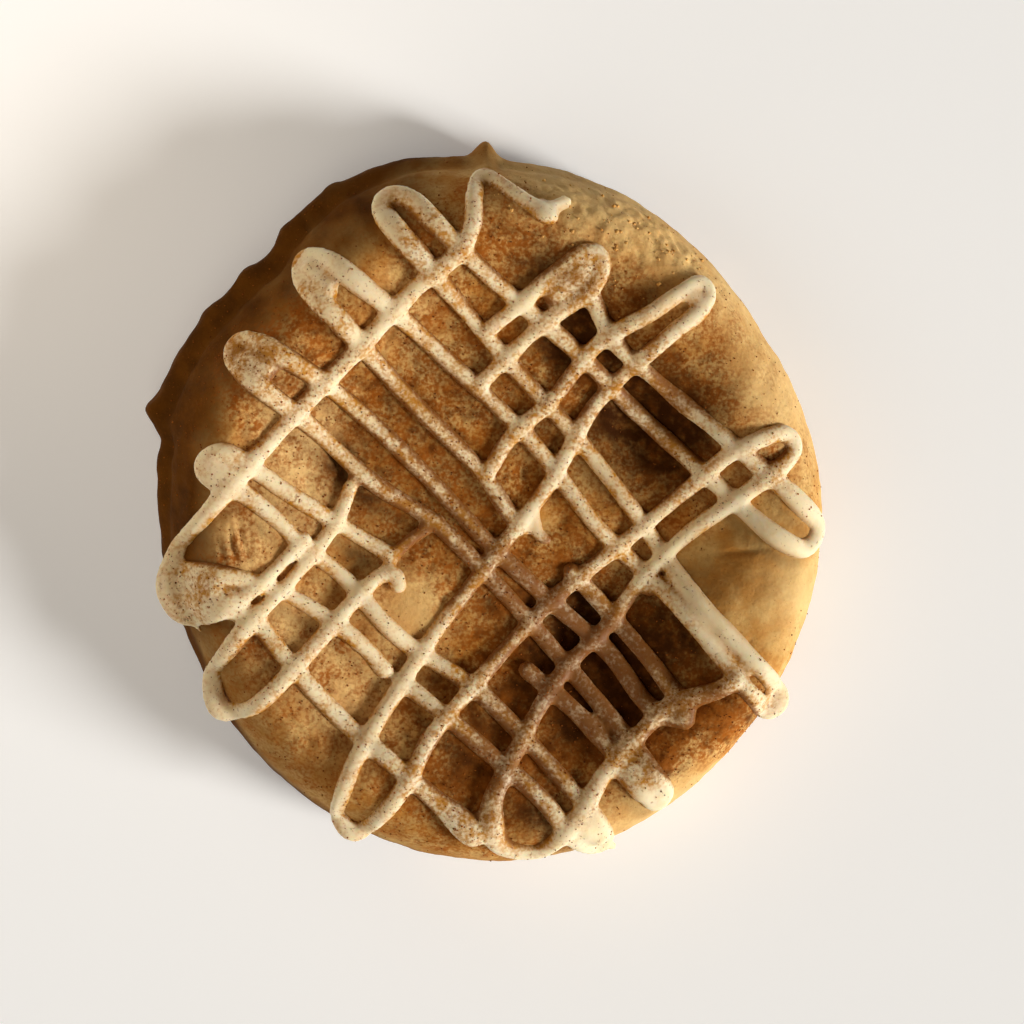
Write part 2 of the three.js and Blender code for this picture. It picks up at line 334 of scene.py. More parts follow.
# Short dabs and tails that the bag left behind: route and radius in mm
LOWER_DABS = [
    ([(-29.75, 19.75), (-27.5, 18.5)], 1.2),
    ([(19.75, -33.75), (15.75, -29)], 1.2),
    ([(17.5, -34), (14, -30)], 0.9),
    ([(12.5, -39), (10.5, -37)], 1.5),
    ([(-33.75, 7), (-31.75, 6)], 1.6),
    ([(23, -24.75), (22, -24.25)], 1.35),
    ([(-22, 30.25), (-20.25, 27.75)], 1.3),
]
UPPER_DABS = [
    ([(-17.25, 5.75), (-17.5, 4)], 0.5),
    ([(-12.75, -5), (-10.5, -2.75), (-6.75, -0.25)], 0.85),
    ([(-36.75, -11.75), (-35.5, -13.25)], 0.42),
    ([(5.5, 37), (8.25, 38)], 0.95),
    ([(13.25, -40), (14.75, -41)], 0.55),
    ([(-37.75, -6), (-38, -8), (-36.5, -9.5)], 1.6),
    ([(-37.5, -7.5), (-34.5, -9.25), (-32, -9.25)], 1.7),
    ([(4.75, 1), (5, -0.75), (5.25, -2), (6.25, -2.75)], 0.8),
    ([(18.25, -7.75), (19, -9.25)], 0.85),
]

# Where the strands swell or thin out: middle, reach and extra radius in mm
SWELLINGS = [
    (-11, 36, 5, 0.35),
    (-19.5, 27.5, 6, 0.35),
    (-29, 19, 5, 0.4),
    (-34, 7, 3, 0.5),
    (-37, -7.8, 3.5, 0.5),
    (-26.5, -5.5, 5, -0.25),
    (36.5, -1, 5, 0.25),
    (34.75, -23.25, 3, 0.3),
    (22.5, -24, 3, 0.3),
    (19, -33, 4, 0.2),
    (12.5, -39, 3.5, 0.4),
    (-3.5, -37.5, 4.5, 0.7),
    (-3, 25.5, 3, -0.2),
    (-33.5, -20, 4, 0.2),
]

# Places where neighbouring runs flowed together: middle, half lengths, half height and turn in degrees
LOWER_POOLS = [
    (25, -11.75, 3.8, 1.8, 1.0, -47),
    (34.5, -23.5, 1.6, 1.5, 1.4, -45),
    (-36, -7.75, 3.8, 2.8, 1.7, -20),
]
UPPER_POOLS = [
    (9, 29, 4.4, 2.0, 1.35, 45),
    (23.75, 26.75, 1.3, 0.9, 0.8, 35),
    (5.75, 37, 1.9, 1.5, 1.3, -30),
]
BALL_SIDES = 16

# Where the cinnamon fell: middle, radius in mm, and how thick it lies there. Minus is a bare place.
# It drifts a little, and lies thin on the lower wall and on toasted crust and its painted shade.
DUST_EVERYWHERE = 0.25
DUST_MOST = 1.5
DUST_DRIFT = 0.12
DUST_DRIFT_SIZE = 4
DUST_ABOVE = (8, 14)
TOAST_AND_SHADE_BARE = 0.7
DUST_PATCHES = [
    (-7.75, 12, 13, 0.34),
    (-11, 3, 6, 0.25),
    (0.75, -6.25, 9, 0.52),
    (13, -18.5, 11, 0.9),
    (27.5, -24, 4.6, 0.68),
    (20.5, -29.25, 2.6, 0.6),
    (26.5, -31.5, 4, -0.2),
    (13, -31.5, 2.5, -0.3),
    (17, -32, 3, 0.25),
    (5, -0.75, 2.2, -0.6),
    (-32, -3, 1.6, 0.3),
    (20.5, 14.5, 6.5, 0.6),
    (10, 16, 6, 0.35),
    (-2.75, -31, 8, 0.6),
    (5.75, -27.5, 7, 0.35),
    (-8.75, 33.75, 4, 0.3),
    (-23, 23.25, 5, 0.25),
    (1, 33, 6, 0.3),
    (9, 29, 3.5, 0.5),
    # Painted shade on the bowl's bank, laid on as dust
    (22, 3, 6, 0.3),
    (14.75, 27.5, 4, 0.25),
    (-35.75, -8, 3.8, 0.36),
    (-29.25, -17, 4, 0.15),
    (-24, -27.5, 8, 0.12),
    (-21.5, -16.5, 6, 0.08),
    (33.25, 6.75, 3.4, 0.4),
    (-30.5, 20, 3.5, 0.3),
    (30.25, -7.75, 10, -0.4),
    (-9.5, -10.5, 4, -0.3),
    (-16.5, 30.25, 5, -0.1),
    (33.25, 16, 9, -0.12),
    (10, 40.5, 6, -0.25),
    (20, 33.5, 6, -0.2),
    (19.25, -36, 6, -0.3),
    (-31, 18, 9, 0.22),
    (-36, -3, 9, 0.06),
    (4.5, -27.5, 4, -0.3),
]

# How the cinnamon shows on the icing, less on the ridges than on the flanks, whose darkness is partly
# painted shade
ICING_DUST_FROM = 0.06
ICING_DUST_GAIN = 1.4
ICING_DUST_LEAST = 0.06
ICING_DUST_MOST = 0.85
RIDGE_DUST = 0.65

# The icing is thin and lets the dough show through, and shade is painted on its flanks, below these heights
# over the dough, in mm
THIN_AND_SHADED_ICING = (0.4, 1.05)

# Grains of cinnamon and crumbs of dough: how many are tried, and their sizes in mm.
# Most of the cinnamon is left out where shade is painted on the dough, and nothing stays where the surface
# is steep.
GRAIN_TRIES = 24000
GRAIN_SIZES = (0.1, 0.32)
CRUMB_TRIES = 3000
CRUMB_SIZES = (0.25, 0.75)
GRAINS_LEFT_OUT_IN_SHADE = 0.9
GRAIN_LIFT = 0.08
CORNER_SHARES = (0.6, 1.2)
LEAST_UPWARD = 0.2
ABOVE_ALL = 40

# The camera, in mm and degrees: the middle of the picture, how far off it stands, and how it leans
CAMERA_TARGET = (1.7, 1.1, 17)
CAMERA_DISTANCE = 480
CAMERA_LEAN = 10
CAMERA_LEAN_TOWARDS = 135
CAMERA_HALF_VIEW = 0.128
CAMERA_NEAREST = 10

# The broad lights: azimuth and elevation in degrees, strength, softness in degrees and colour
LIGHTS = {
    "key": (-22, 24, 3.9, 18, (1.0, 0.95, 0.88)),
    "front": (228, 38, 0.85, 60, (1.0, 0.88, 0.72)),
}

# A small lamp near the left side, in mm and watts, and the even fill
NEAR_LIGHT_AT = (-72, 50, 58)
NEAR_LIGHT_AIM = (-28, 14, 16)
NEAR_LIGHT_SIZE = 50
NEAR_LIGHT_WATTS = 0.0162
NEAR_LIGHT_COLOUR = (1.0, 0.79, 0.56)
FILL_COLOUR = (1.0, 0.7, 0.35)
FILL_STRENGTH = 0.05

# The floor, which glows a little so that it stays pale
FLOOR_SIZE = 6000
FLOOR_COLOUR = (0.86, 0.89, 0.93)
FLOOR_GLOW_COLOUR = (0.95, 0.97, 1.0)
FLOOR_GLOW = 0.2


def bell(distance, width):
    return np.exp(-((distance / width) ** 2))


def smooth_step(value, low, high):
    share = np.clip((value - low) / (high - low), 0, 1)
    return share * share * (3 - 2 * share)


def angle_between(a, b):
    return (a - b + 180) % 360 - 180


def around(angle, places):
    """The sum of soft bumps round the cookie at an angle."""
    return sum(amount * bell(angle_between(angle, at), width) for at, width, amount in places)


def outline_radius(angle):
    return MEAN_RADIUS - OVALITY * np.cos(2 * np.radians(angle)) + around(angle, OUTLINE_SWELLS)


def foot_scallop(angle, z):
    return around(angle, FOOT_SWELLS) * (1 - smooth_step(z, *FOOT_FADE))


def lip_share(angle):
    return bell(angle_between(angle, LIP_MIDDLE), LIP_HALF_WIDTH) ** 2


def lip_inset(angle, z):
    above = smooth_step(z, LIP_HEIGHT - LIP_FADE, LIP_HEIGHT + LIP_FADE)
    crease = LIP_CREASE * bell(z - LIP_HEIGHT - LIP_FADE, LIP_FADE)
    climb = np.clip((z - LIP_HEIGHT) / (CROWN_HEIGHT - LIP_HEIGHT), 0, 1)
    return lip_share(angle) * (LIP_INSET * above + crease + LIP_LEAN * climb)


def crown_height(share):
    rounded = np.sqrt(np.maximum(0, 1 - share**CROWN_POWER))
    return BELLY_HEIGHT + (CROWN_HEIGHT - BELLY_HEIGHT) * rounded


def bowl(angle, share):
    foot = BOWL_FOOT
    rim = BOWL_RIM
    for at, width, foot_shift, rim_shift in BOWL_BANKS:
        near = bell(angle_between(angle, at), width)
        foot = foot + foot_shift * near
        rim = rim + rim_shift * near
    return BOWL_DEPTH * (smooth_step(share, foot, rim) - 1)


def top_relief(x, y, share):
    height = bowl(np.degrees(np.arctan2(y, x)), share)
    dimples = np.sin(x / WAVE_LENGTH + 1) * np.sin(y / WAVE_LENGTH)
    ridges = np.sin((x - 2 * y) / (2 * WAVE_LENGTH))
    height = height + WAVE_HEIGHT * (dimples + ridges)
    for cx, cy, radius, up in TOP_SWELLS:
        height = height + up * bell(np.hypot(x - cx, y - cy), radius)
    return height * np.maximum(0, 1 - share**CROWN_POWER)


def dough_radius(angle, share, z):
    drawn_out = foot_scallop(angle, z) - lip_inset(angle, z)
    return share * outline_radius(angle) + drawn_out * share**LIP_FOLLOW_POWER


def top_share(x, y):
    """The share of the radius at a place on the top, found in steps because the lip draws the top in."""
    angle = np.degrees(np.arctan2(y, x))
    outline = outline_radius(angle)
    share = np.minimum(1, np.hypot(x, y) / outline)
    for _ in range(SHARE_STEPS):
        missing = np.hypot(x, y) - dough_radius(angle, share, crown_height(share))
        share = np.clip(share + missing / outline, 0, 1)
    return share


def top_height(x, y):
    share = top_share(x, y)
    return crown_height(share) + top_relief(x, y, share)


def rough(points, size):
    """Smooth noise from about -1 to 1 whose lumps are about size apart."""
    return np.array([noise.noise(point) for point in (points / size).tolist()])


def patches(x, y, places):
    """The sum of soft round patches at x, y."""
    total = np.zeros_like(x)
    for cx, cy, radius, amount in places:
        total += amount * bell(np.hypot(x - cx, y - cy), radius)
    return total


def dust(points):
    """How thick the cinnamon lies, from 0 for none, over 1 for covered, to heaps."""
    drift = DUST_DRIFT * rough(points, DUST_DRIFT_SIZE)
    level = DUST_EVERYWHERE + patches(points[:, 0], points[:, 1], DUST_PATCHES) + drift
    return np.clip(level, 0, DUST_MOST)


def soaked(x, y):
    """How dark shade is painted on the dough, from 0 to 1."""
    return np.clip(patches(x, y, PAINTED_SHADE_PATCHES), 0, 1)


def grain_chance(spots):
    x, y, _ = spots.T
    return dust(spots) * (1 - GRAINS_LEFT_OUT_IN_SHADE * soaked(x, y))


def crumb_chance(spots):
    x, y, _ = spots.T
    return patches(x, y, SANDY_PATCHES)


def mesh_object(name, points, faces):
    mesh = bpy.data.meshes.new(name)
    mesh.from_pydata(points.tolist(), [], faces)
    mesh.update()
    made = bpy.data.objects.new(name, mesh)
    bpy.context.scene.collection.objects.link(made)
    return made


def mesh_points(made):
    points = np.empty(len(made.data.vertices) * 3)
    made.data.vertices.foreach_get("co", points)
    return points.reshape(-1, 3)


def mesh_normals(made):
    normals = np.empty(len(made.data.vertices) * 3)
    made.data.vertices.foreach_get("normal", normals)
    return normals.reshape(-1, 3)


def move_points(made, points):
    made.data.vertices.foreach_set("co", points.ravel())
    made.data.update()


def vertex_values(made, name, values):
    layer = made.data.attributes.new(name, "FLOAT", "POINT")
    layer.data.foreach_set("value", values.astype(np.float32))


def finish_piece(made, material):
    """Scales a piece from millimetres to metres, and gives it its finish and its place in the frame."""
    move_points(made, mesh_points(made) * MM)
    made.data.polygons.foreach_set("use_smooth", np.ones(len(made.data.polygons), bool))
    made.data.materials.append(material)
    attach(made, "root")
    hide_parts("cookie")


# The dough: a square grid bent to a disc for the top, then rings down the wall and under the bottom
def disc_grid(cells):
    """A square grid mapped to the unit disc, as directions in radians and shares of the radius."""
    steps = np.linspace(-1, 1, cells + 1)
    a, b = np.meshgrid(steps, steps, indexing="ij")
    wide = np.abs(a) > np.abs(b)
    safe_a = np.where(a == 0, 1, a)
    safe_b = np.where(b == 0, 1, b)
    reach = np.where(wide, a, b)
    turn = np.where(wide, math.pi / 4 * b / safe_a, math.pi / 2 - math.pi / 4 * a / safe_b)
    x = reach * np.cos(turn)
    y = reach * np.sin(turn)
    return np.arctan2(y, x).ravel(), np.hypot(x, y).ravel()


def grid_border(cells):
    """The grid's border vertices, counterclockwise."""
    row = cells + 1
    right = [cells * row + j for j in range(cells)]
    far = [i * row + cells for i in range(cells, 0, -1)]
    left = list(range(cells, 0, -1))
    near = [i * row for i in range(cells)]
    return right + far + left + near


def dough_points(direction, share, z):
    radius = dough_radius(np.degrees(direction), share, z)
    x = radius * np.cos(direction)
    y = radius * np.sin(direction)
    relief = np.where(z > BELLY_HEIGHT, top_relief(x, y, share), 0)
    return np.column_stack([x, y, z + relief])


def wall_profile():
    """Shares of the radius and heights of the rings, from the shoulder down to the middle of the bottom."""
    shoulder = math.asin(TOP_SHARE ** (CROWN_POWER / 2))
    rings = []
    for turn in np.linspace(shoulder, math.pi / 2, WALL_RINGS + 1)[1:]:
        share = math.sin(turn) ** (2 / CROWN_POWER)
        rings.append((share, BELLY_HEIGHT + (CROWN_HEIGHT - BELLY_HEIGHT) * math.cos(turn)))
    for lean in np.linspace(0, math.pi / 2, FOOT_RINGS + 1)[1:]:
        inset = BOTTOM_INSET / MEAN_RADIUS * (1 - math.cos(lean))
        rings.append((1 - inset, BELLY_HEIGHT * (1 - math.sin(lean))))
    foot_share = rings[-1][0]
    for ring in range(BOTTOM_RINGS, 0, -1):
        rings.append((foot_share * ring / (BOTTOM_RINGS + 1), 0.0))
    return rings


def dough_mesh():
    direction, share = disc_grid(TOP_GRID)
    share = share * TOP_SHARE
    points = [dough_points(direction, share, crown_height(share))]
    row = TOP_GRID + 1
    faces = []
    for i in range(TOP_GRID):
        for j in range(TOP_GRID):
            first = i * row + j
            faces.append((first, first + row, first + row + 1, first + 1))
    border = grid_border(TOP_GRID)
    sides = len(border)
    border_direction = direction[border]
    last = border
    count = row * row
    for ring_share, z in wall_profile():
        points.append(dough_points(border_direction, np.full(sides, ring_share), np.full(sides, z)))
        ring = list(range(count, count + sides))
        for k in range(sides):
            after = (k + 1) % sides
            faces.append((last[k], ring[k], ring[after], last[after]))
        last = ring
        count += sides
    points.append(np.zeros((1, 3)))
    for k in range(sides):
        faces.append((last[k], count, last[(k + 1) % sides]))
    return np.vstack(points), faces


def turned(dx, dy, turn):
    """A step measured along and across a line that is turned by some degrees."""
    c, s = math.cos(math.radians(turn)), math.sin(math.radians(turn))
    return c * dx + s * dy, c * dy - s * dx


def cracks(x, y):
    height = np.zeros_like(x)
    for cx, cy, long, wide, deep, turn in CRACKS:
        along, across = turned(x - cx, y - cy, turn)
        height -= deep * bell(along, long) * bell(across, wide)
    return height


def flakes(points):
    dx = points[:, 0] - FLAKED_AT[0]
    dy = points[:, 1] - FLAKED_AT[1]
    across, along = turned(dx, dy, FLAKE_TURN)
    level = np.zeros_like(across)
    torn = rough(np.column_stack([across / FLAKE_WIDTH, along / FLAKE_LENGTH, level]), 1)
    return FLAKE_HEIGHT * torn * bell(np.hypot(dx, dy), FLAKED_REACH)


def pits(x, y):
    draws = np.random.default_rng(SEED)
    height = np.zeros_like(x)
    for _ in range(PITS):
        reach = MEAN_RADIUS * math.sqrt(draws.uniform(0, PITTED_AREA))
        turn = draws.uniform(0, 2 * math.pi)
        size = draws.uniform(*PIT_SIZES)
        away = np.hypot(x - reach * math.cos(turn), y - reach * math.sin(turn))
        height -= PIT_SLOPE * size * bell(away, size)
    return height


def dough_relief(points):
    x, y, z = points.T
    height = cracks(x, y) + flakes(points) + pits(x, y)
    for size, up in DOUGH_LUMPS:
        height += up * rough(points, size)
    sandy = np.clip(patches(x, y, SANDY_PATCHES), 0, 1) * smooth_step(z, *SANDY_ABOVE)
    return height + SANDY_HEIGHT * sandy * rough(points, SANDY_SIZE)


def toast(points):
    """How brown the crust is baked, from 0 to 1, with shade painted on the wall and shoulder turned from
    the light.
    """
    x, y, z = points.T
    angle = np.degrees(np.arctan2(y, x)) + TOAST_AND_SHADE_RAGGED * rough(points, TOAST_AND_SHADE_RAGGED_SIZE)
    wall = around(angle, TOASTED_AND_SHADED) * (1 - smooth_step(z, *TOAST_AND_SHADE_FADE))
    foot = FOOT_TOAST * (1 - smooth_step(z, *FOOT_TOAST_FADE))
    share = np.hypot(x, y) / outline_radius(angle)
    shoulder = around(angle, TOASTED_AND_SHADED_SHOULDER) * smooth_step(share, *SHOULDER_SHARES)
    uneven = TOAST_AND_SHADE_UNEVEN * rough(points, TOAST_AND_SHADE_UNEVEN_SIZE)
    return np.clip(np.maximum(wall, shoulder) + foot + uneven, 0, 1)


def make_dough():
    points, faces = dough_mesh()
    dough = mesh_object("cookie_dough", points, faces)
    off_floor = smooth_step(points[:, 2], *RELIEF_ABOVE)
    points = points + mesh_normals(dough) * (dough_relief(points) * off_floor)[:, None]
    move_points(dough, points)
    x, y, z = points.T
    toasted_and_shaded = toast(points)
    vertex_values(dough, "toast", toasted_and_shaded)
    vertex_values(dough, "dust", dust(points) * smooth_step(z, *DUST_ABOVE) * (1 - TOAST_AND_SHADE_BARE * toasted_and_shaded))
    # Painted shade: the dark patches of the top and the shadow beside the lower strands
    vertex_values(dough, "soaked", np.clip(soaked(x, y) + painted_strand_shadow(points), 0, 1))
    vertex_values(dough, "pale", np.clip(patches(x, y, PALE_AND_LIT_PATCHES), 0, 1))
    return dough


# The icing: tubes along smooth routes, run together by a remesh
def curve_points(route):
    """Closely spaced points of the centripetal curve through the route."""
    ends = [2 * route[0] - route[1], *route, 2 * route[-1] - route[-2]]
    t = np.linspace(0, 1, CURVE_SAMPLES, endpoint=False)[:, None]
    stretches = []
    for p0, p1, p2, p3 in zip(ends, ends[1:], ends[2:], ends[3:]):
        d0, d1, d2 = (math.sqrt(math.dist(a, b)) for a, b in ((p0, p1), (p1, p2), (p2, p3)))
        leave = ((p1 - p0) / d0 - (p2 - p0) / (d0 + d1) + (p2 - p1) / d1) * d1
        reach = ((p2 - p1) / d1 - (p3 - p1) / (d1 + d2) + (p3 - p2) / d2) * d1
        square = -3 * p1 + 3 * p2 - 2 * leave - reach
        cube = 2 * p1 - 2 * p2 + leave + reach
        stretches.append(p1 + leave * t + square * t**2 + cube * t**3)
    return np.vstack([*stretches, route[-1][None]])


def evenly_spaced(points, step):
    lengths = np.linalg.norm(np.diff(points, axis=0), axis=1)
    along = np.concatenate([[0], np.cumsum(lengths)])
    count = max(2, round(along[-1] / step))
    wanted = np.linspace(0, along[-1], count + 1)
    return np.column_stack([np.interp(wanted, along, column) for column in points.T])


def strand_route(places):
    return evenly_spaced(curve_points(np.array(places, float)), STRAND_STEP)


def tube(centres, radii):
    """A closed tube round the centres, a little flatter than it is wide."""
    tangents = np.gradient(centres, axis=0)
    sides = np.cross(tangents, (0, 0, 1))
    sides /= np.linalg.norm(sides, axis=1)[:, None]
    turns = np.linspace(0, 2 * math.pi, STRAND_SIDES, endpoint=False)
    across = sides[:, None, :] * np.cos(turns)[None, :, None]
    upward = np.array([0, 0, STRAND_FLATNESS]) * np.sin(turns)[None, :, None]
    points = (centres[:, None, :] + (across + upward) * radii[:, None, None]).reshape(-1, 3)
    faces = []
    for ring in range(len(centres) - 1):
        for k in range(STRAND_SIDES):
            after = (k + 1) % STRAND_SIDES
            a = ring * STRAND_SIDES
            b = a + STRAND_SIDES
            faces.append((a + k, a + after, b + after, b + k))
    last = (len(centres) - 1) * STRAND_SIDES
    faces.append(tuple(range(STRAND_SIDES))[::-1])
    faces.append(tuple(range(last, last + STRAND_SIDES)))
    return points, faces


def ball(centre, halves, turn=0):
    """A closed ellipsoid, turned about Z by some degrees."""
    rings = BALL_SIDES // 2
    points = [(0, 0, 1)]
    for ring in range(1, rings):
        lean = math.pi * ring / rings
        for k in range(BALL_SIDES):
            spin = 2 * math.pi * k / BALL_SIDES
            out = math.sin(lean)
            points.append((out * math.cos(spin), out * math.sin(spin), math.cos(lean)))
    points.append((0, 0, -1))
    bottom = len(points) - 1
    faces = []
    for k in range(BALL_SIDES):
        after = (k + 1) % BALL_SIDES
        faces.append((0, 1 + k, 1 + after))
        for ring in range(rings - 2):
            a = 1 + ring * BALL_SIDES
            b = a + BALL_SIDES
            faces.append((a + k, b + k, b + after, a + after))
        a = 1 + (rings - 2) * BALL_SIDES
        faces.append((a + k, bottom, a + after))
    points = np.array(points) * halves
    c, s = math.cos(math.radians(turn)), math.sin(math.radians(turn))
    points = points @ np.array([(c, s, 0), (-s, c, 0), (0, 0, 1)])
    return points + centre, faces


def strand(route, radii, lift=0):
    """The tube and end balls of one stretch that lies on the dough."""
    x, y = route.T
    z = np.maximum(LOWEST_STRAND, top_height(x, y)) + STRAND_SINK + lift
    centres = np.column_stack([x, y, z])
    rim_share = smooth_step(np.hypot(x, y) / MEAN_RADIUS, *RIM_SHARES)
    thick = radii[0] + (radii[1] - radii[0]) * rim_share
    thick = thick * (1 + STRAND_UNEVEN * rough(centres, UNEVEN_LENGTH)) + patches(x, y, SWELLINGS)
    return rounded_tube(centres, thick)


def rounded_tube(centres, thick):
    shapes = [tube(centres, thick)]
    for end in (0, -1):
        halves = thick[end] * np.array([1, 1, STRAND_FLATNESS])
        shapes.append(ball(centres[end], halves))
    return shapes


def dab(places, radius):
    route = strand_route(places)
    z = np.maximum(LOWEST_STRAND, top_height(*route.T)) + STRAND_SINK
    return rounded_tube(np.column_stack([route, z]), np.full(len(route), radius))


def pool(x, y, long, wide, tall, turn):
    """A flat drop that follows the top of the dough."""
    points, faces = ball((x, y, 0), (long, wide, tall), turn)
    points[:, 2] += np.maximum(LOWEST_STRAND, top_height(points[:, 0], points[:, 1]))
    return points, faces


def joined(shapes):
    points = []
    faces = []
    count = 0
    for shape_points, shape_faces in shapes:
        points.append(shape_points)
        faces += [tuple(k + count for k in face) for face in shape_faces]
        count += len(shape_points)
    return np.vstack(points), faces


def run_together(made):
    """Fuses the piece's overlapping shapes into one skin and rounds the joins."""
    fuse = made.modifiers.new("fuse", "REMESH")
    fuse.mode = "VOXEL"
    fuse.voxel_size = ICING_VOXEL
    soften = made.modifiers.new("soften", "SMOOTH")
    soften.factor = ICING_SOFTNESS
    soften.iterations = ICING_SMOOTHING
    depsgraph = bpy.context.evaluated_depsgraph_get()
    skin = bpy.data.meshes.new_from_object(made.evaluated_get(depsgraph))
    made.modifiers.clear()
    made.data = skin
    return made


# The lower pass is laid out first: the upper pass climbs over it, and a shadow is painted on the dough
# beside it
lower_routes = [strand_route(places) for places in LOWER_ROUTES]


def painted_strand_shadow(points):
    """How dark the shadow painted on the dough beside the lower strands is."""
    lower = np.vstack(lower_routes) + STRAND_SHADOW_SHIFT
    tree = KDTree(len(lower))
    for k, (x, y) in enumerate(lower.tolist()):
        tree.insert((x, y, 0), k)
    tree.balance()
    away = np.array([tree.find((x, y, 0))[2] for x, y, _ in points.tolist()])
    return STRAND_SHADOW_AMOUNT * bell(away, STRAND_SHADOW_REACH)


def crossing_lift(route):
    lower = np.vstack(lower_routes)
    gaps = np.linalg.norm(route[:, None] - lower[None], axis=2).min(axis=1)
    return CROSSING_LIFT * bell(gaps, CROSSING_REACH)


def lower_pass():
    shapes = [pool(*place) for place in LOWER_POOLS]
    for route in lower_routes:
        shapes += strand(route, LOWER_RADII)
    for places, radius in LOWER_DABS:
        shapes += dab(places, radius)
    return shapes


def upper_pass():
    shapes = [pool(*place) for place in UPPER_POOLS]
    for places in UPPER_ROUTES:
        route = strand_route(places)
        shapes += strand(route, UPPER_RADII, crossing_lift(route))
    for places, radius in UPPER_DABS:
        shapes += dab(places, radius)
    return shapes


def make_icing():
    shapes = lower_pass() + upper_pass()
    icing = run_together(mesh_object("icing", *joined(shapes)))
    points = mesh_points(icing)
    # Thin icing near the dough, where shade is also painted on the flanks
    thin = 1 - smooth_step(points[:, 2] - top_height(points[:, 0], points[:, 1]), *THIN_AND_SHADED_ICING)
    thick = ICING_DUST_GAIN * (dust(points) - ICING_DUST_FROM) * (RIDGE_DUST + thin)
    vertex_values(icing, "dust", np.clip(thick, ICING_DUST_LEAST, ICING_DUST_MOST))
    vertex_values(icing, "thin", thin)
    return icing


# Loose grains: small rough octahedra that lie on whatever is highest
GRAIN_POINTS = np.array([(1, 0, 0), (-1, 0, 0), (0, 1, 0), (0, -1, 0), (0, 0, 1), (0, 0, -1)], float)
GRAIN_FACES = [(0, 2, 4), (2, 1, 4), (1, 3, 4), (3, 0, 4), (2, 0, 5), (1, 2, 5), (3, 1, 5), (0, 3, 5)]


def surface_trees(pieces):
    return [BVHTree.FromObject(piece, bpy.context.evaluated_depsgraph_get()) for piece in pieces]


def highest_hit(trees, x, y):
    """The highest place under x, y and its normal."""
    hits = [tree.ray_cast(Vector((x, y, ABOVE_ALL)), Vector((0, 0, -1))) for tree in trees]
    hits = [(place, normal) for place, normal, _, _ in hits if place is not None]
    return max(hits, key=lambda hit: hit[0].z, default=None)


def scatter(name, trees, draws, tries, chance, sizes):
    x = draws.uniform(CAD_LOW.x / MM, CAD_HIGH.x / MM, tries)
    y = draws.uniform(CAD_LOW.y / MM, CAD_HIGH.y / MM, tries)
    spots = np.column_stack([x, y, np.full(tries, CROWN_HEIGHT)])
    kept = draws.uniform(0, 1, tries) < chance(spots)
    size = sizes[0] + (sizes[1] - sizes[0]) * draws.uniform(0, 1, tries) ** 2
    shapes = []
    shades = []
    for i in np.flatnonzero(kept):
        hit = highest_hit(trees, x[i], y[i])
        if hit is None or hit[1].z < LEAST_UPWARD:
            continue
        place, normal = hit
        corners = GRAIN_POINTS * size[i] * draws.uniform(*CORNER_SHARES, (len(GRAIN_POINTS), 1)) / 2
        spin, _ = np.linalg.qr(draws.normal(size=(3, 3)))
        middle = np.array(place + normal * size[i] * GRAIN_LIFT)
        shapes.append((corners @ spin + middle, GRAIN_FACES))
        shades.append(draws.uniform(0, 1))
    made = mesh_object(name, *joined(shapes))
    vertex_values(made, "shade", np.repeat(shades, len(GRAIN_POINTS)))
    return made


class Finish:
    """A material's node tree, with short names for the nodes that the finishes share."""

    def __init__(self, name):
        self.material = bpy.data.materials.new(name)
        self.material.use_nodes = True
        self.tree = self.material.node_tree
        self.surface = self.tree.nodes["Principled BSDF"]
        self.place = self.node("ShaderNodeTexCoord").outputs["Object"]

    def put(self, socket, value):
        if isinstance(value, bpy.types.NodeSocket):
            self.tree.links.new(value, socket)
        elif isinstance(value, tuple) and len(value) < len(socket.default_value):
            socket.default_value = (*value, 1)
        else:
            socket.default_value = value

    def node(self, kind, inputs=None, **settings):
        made = self.tree.nodes.new(kind)
        for name, value in settings.items():
            setattr(made, name, value)
        for key, value in (inputs or {}).items():
            self.put(made.inputs[key], value)
        return made

    def set(self, **sockets):
        for name, value in sockets.items():
            self.put(self.surface.inputs[name.replace("_", " ")], value)

    def attribute(self, name):
        return self.node("ShaderNodeAttribute", attribute_name=name).outputs["Fac"]

    def noise(self, size, detail, stretch=1):
        """Noise with lumps of about size mm, drawn out upward by stretch."""
        squeeze = {0: self.place, 1: (1, 1, 1 / stretch)}
        squeezed = self.node("ShaderNodeVectorMath", squeeze, operation="MULTIPLY").outputs[0]
        inputs = {"Vector": squeezed, "Scale": 1 / (size * MM), "Detail": detail}
        return self.node("ShaderNodeTexNoise", inputs).outputs["Fac"]

    def pattern(self, name, to_low=0, to_high=1, stretch=1):
        """One of the named patterns, from to_low to to_high."""
        size, detail, low, high = PATTERNS[name]
        return self.between(self.noise(size, detail, stretch), low, high, to_low, to_high)

    def math(self, operation, a, b):
        return self.node("ShaderNodeMath", {0: a, 1: b}, operation=operation).outputs[0]

    def between(self, value, low, high, to_low=0, to_high=1):
        """Value carried smoothly from low..high to to_low..to_high."""
        inputs = {"Value": value, "From Min": low, "From Max": high, "To Min": to_low, "To Max": to_high}
        return self.node("ShaderNodeMapRange", inputs, interpolation_type="SMOOTHSTEP").outputs[0]

    def mix(self, share, first, second):
        return self.node("ShaderNodeMix", {0: share, 6: first, 7: second}, data_type="RGBA").outputs[2]

    def bump(self, size, detail, height):
        inputs = {"Height": self.noise(size, detail), "Distance": height * MM, "Strength": 1}
        self.put(self.surface.inputs["Normal"], self.node("ShaderNodeBump", inputs).outputs[0])


def colour(red, green, blue):
    """A screen colour from 0 to 255 as linear light, by the sRGB curve."""
    return tuple(((c / 255 + 0.055) / 1.055) ** 2.4 for c in (red, green, blue))


